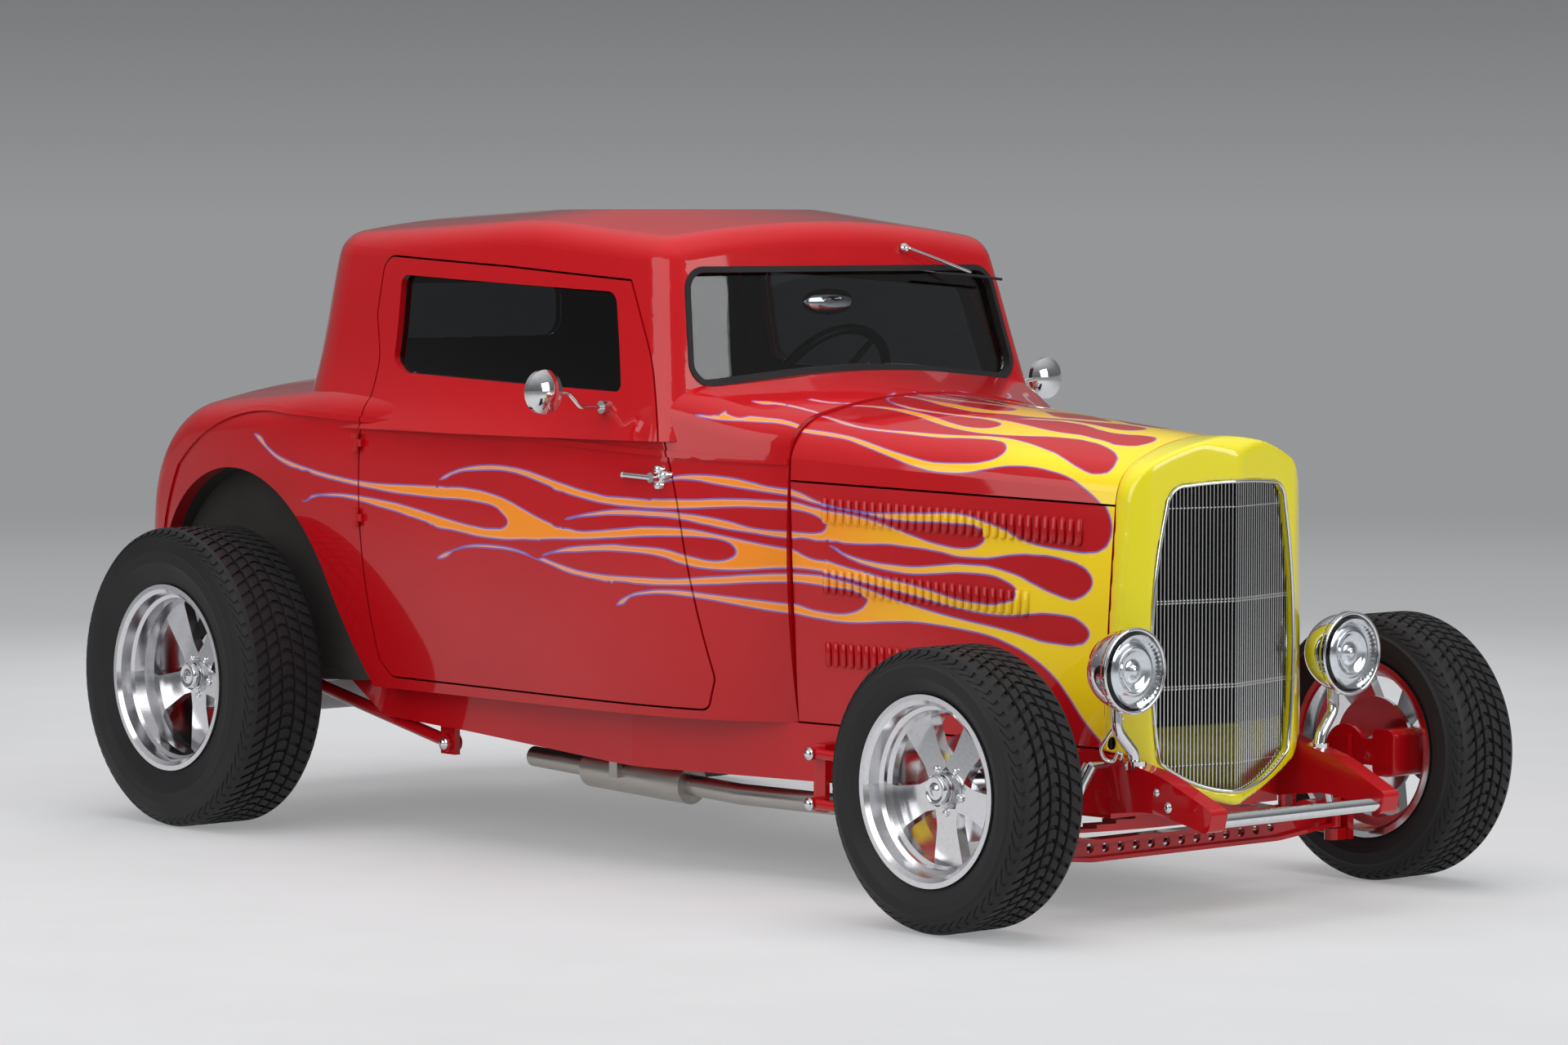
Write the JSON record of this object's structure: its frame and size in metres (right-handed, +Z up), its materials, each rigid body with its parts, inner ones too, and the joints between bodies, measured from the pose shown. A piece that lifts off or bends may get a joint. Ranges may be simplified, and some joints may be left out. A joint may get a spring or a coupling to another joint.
{
  "type": "hot rod",
  "caption": "Chopped three-window highboy coupe on exposed frame rails, with louvred hood sides, vertical-bar grille, solid drilled front axle, wide rear tyres and opening doors.",
  "frame": {"origin": "middle of the whole length and width, on the ground under the tyres", "axes": "+X forward to the radiator, +Y to the car's left, +Z up"},
  "size_m": [3.6966, 1.853, 1.56],
  "materials": {
    "body_paint": "glossy red enamel",
    "shell_paint": "glossy yellow enamel",
    "bright_metal": "mirror chrome",
    "polished_alloy": "polished",
    "dark_steel": "satin black",
    "engine": "cast, painted",
    "tyre": "matt tread, smooth sidewall",
    "rubber": "matt",
    "upholstery": "padded, satin",
    "clear_glass": "clear, ribbed",
    "tinted_glass": "clear, tinted",
    "red_lens": "clear red"
  },
  "bodies": {
    "chassis": {"frame_rails": "body_paint", "crossmembers": "body_paint", "front_axle": "bright_metal", "front_spring": "dark_steel", "suspension_links": "bright_metal", "shock_absorbers": "bright_metal", "rear_axle": "dark_steel", "front_spreader_bar": "bright_metal", "fuel_tank": "dark_steel", "exhaust_pipes": "bright_metal", "engine_block": "engine", "radiator_shell": "shell_paint", "radiator_core": "dark_steel", "grille_insert": "bright_metal", "headlights": "bright_metal", "headlight_lenses": "clear_glass", "hood_sides": "body_paint", "floor_pan": "dark_steel", "seat": "upholstery", "dashboard": "body_paint", "steering_wheel": "bright_metal", "tail_lamps": "red_lens", "rear_body": "body_paint", "roof_panel": "body_paint", "cowl": "body_paint", "window_seals": "rubber", "fixed_glass": "tinted_glass"},
    "knuckle_left": {"knuckle_left": "body_paint"},
    "knuckle_right": {"knuckle_right": "body_paint"},
    "tie_rod": {"tie_rod": "bright_metal"},
    "wheel_front_left": {"wheel_front_left": "polished_alloy", "tyre_front_left": "tyre"},
    "wheel_front_right": {"wheel_front_right": "polished_alloy", "tyre_front_right": "tyre"},
    "wheel_rear_left": {"wheel_rear_left": "polished_alloy", "tyre_rear_left": "tyre"},
    "wheel_rear_right": {"wheel_rear_right": "polished_alloy", "tyre_rear_right": "tyre"},
    "door_left": {"door_left": "body_paint", "door_glass_left": "tinted_glass", "door_trim_left": "bright_metal"},
    "door_right": {"door_right": "body_paint", "door_glass_right": "tinted_glass", "door_trim_right": "bright_metal"},
    "deck_lid": {"deck_lid": "body_paint"},
    "hood_top": {"hood_top": "body_paint"}
  },
  "joints": [
    {"name": "steer_right", "type": "hinge", "parent": "chassis", "child": "knuckle_right", "pos_m": [1.46186, -0.5, 0.31], "axis": [0, 0, 1], "range_deg": [-25, 25]},
    {"name": "steer_left", "type": "hinge", "parent": "chassis", "child": "knuckle_left", "pos_m": [1.46186, 0.5, 0.31], "axis": [0, 0, 1], "range_deg": [-25, 25]},
    {"name": "tie_rod_pivot", "type": "hinge", "parent": "knuckle_right", "child": "tie_rod", "pos_m": [1.30986, -0.47, 0.115], "axis": [0, 0, 1], "range_deg": [-25, 25]},
    {"name": "roll_front_right", "type": "hinge", "parent": "knuckle_right", "child": "wheel_front_right", "pos_m": [1.46186, -0.69, 0.31], "axis": [0, 1, 0], "continuous": true},
    {"name": "roll_front_left", "type": "hinge", "parent": "knuckle_left", "child": "wheel_front_left", "pos_m": [1.46186, 0.69, 0.31], "axis": [0, 1, 0], "continuous": true},
    {"name": "roll_rear_right", "type": "hinge", "parent": "chassis", "child": "wheel_rear_right", "pos_m": [-1.23014, -0.8, 0.379], "axis": [0, 1, 0], "continuous": true},
    {"name": "roll_rear_left", "type": "hinge", "parent": "chassis", "child": "wheel_rear_left", "pos_m": [-1.23014, 0.8, 0.379], "axis": [0, 1, 0], "continuous": true},
    {"name": "door_right_swing", "type": "hinge", "parent": "chassis", "child": "door_right", "pos_m": [-0.69664, -0.7022, 0.9], "axis": [0, 0, -1], "range_deg": [0, 62]},
    {"name": "door_left_swing", "type": "hinge", "parent": "chassis", "child": "door_left", "pos_m": [-0.69664, 0.7022, 0.9], "axis": [0, 0, 1], "range_deg": [0, 62]},
    {"name": "deck_lid_swing", "type": "hinge", "parent": "chassis", "child": "deck_lid", "pos_m": [-1.23164, 0, 1.146], "axis": [0, 1, 0], "range_deg": [0, 50]},
    {"name": "hood_top_lift", "type": "slide", "parent": "chassis", "child": "hood_top", "axis": [0, 0, 1], "range_m": [0, 0.3]}
  ],
  "couplings": [
    {"joint": "steer_left", "follows": "steer_right", "ratio": 1},
    {"joint": "tie_rod_pivot", "follows": "steer_right", "ratio": -1}
  ]
}
